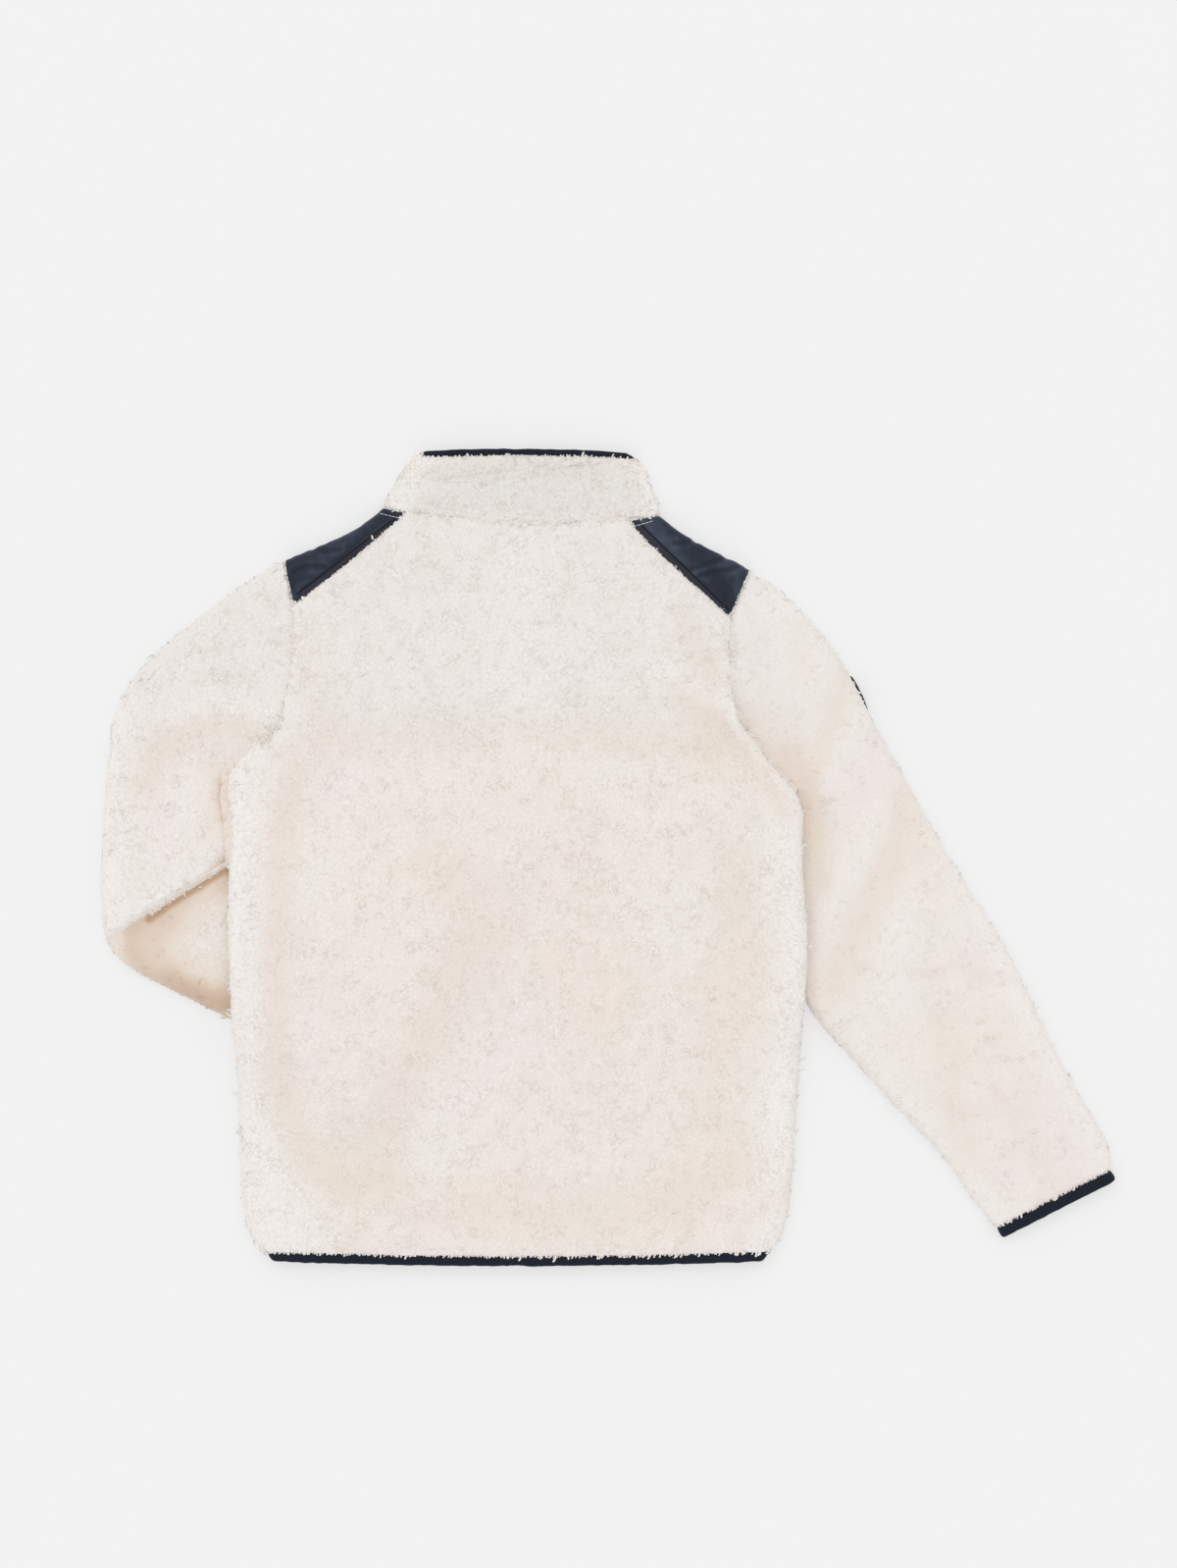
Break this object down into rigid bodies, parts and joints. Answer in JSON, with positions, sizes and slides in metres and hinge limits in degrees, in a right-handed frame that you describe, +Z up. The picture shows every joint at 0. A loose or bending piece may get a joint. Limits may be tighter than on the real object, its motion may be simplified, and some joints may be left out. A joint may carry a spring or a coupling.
{
  "type": "pile fleece jacket",
  "caption": "Child's zipped pile fleece jacket laid flat back up, one sleeve straight and one bent under the body, with bound hem, cuffs and stand collar and woven shoulder yokes.",
  "frame": {"origin": "middle of the underside of the box round the whole jacket, on the floor it lies on", "axes": "+Y from hem to collar, +Z up out of the garment's back, +X towards the outstretched sleeve"},
  "size_m": [0.7472, 0.6008, 0.0325],
  "materials": {
    "fleece": "curled cream pile",
    "woven": "plain weave",
    "binding": "fine knitted rib",
    "tape": "woven tape",
    "coil": "moulded coil",
    "zip_metal": "satin dark coat"
  },
  "bodies": {
    "jacket": {"back": "fleece", "front_left": "fleece", "front_right": "fleece", "sleeve_left": "fleece", "sleeve_right": "fleece", "collar": "fleece", "yoke_left": "woven", "yoke_right": "woven", "yoke_strip_left": "woven", "yoke_strip_right": "woven", "badge_edge": "woven", "hem_binding": "binding", "cuff_binding_left": "binding", "cuff_binding_right": "binding", "collar_binding": "binding", "zip_tape_left": "tape", "zip_tape_right": "tape", "zip_teeth": "coil", "zip_slider": "zip_metal"},
    "zip_pull": {"zip_pull": "zip_metal"}
  },
  "joints": [
    {"name": "zip_pull_hinge", "type": "hinge", "parent": "jacket", "child": "zip_pull", "pos_m": [-0.06707, 0.27938, 0.0016], "axis": [1, 0, 0], "range_deg": [0, 160]}
  ]
}
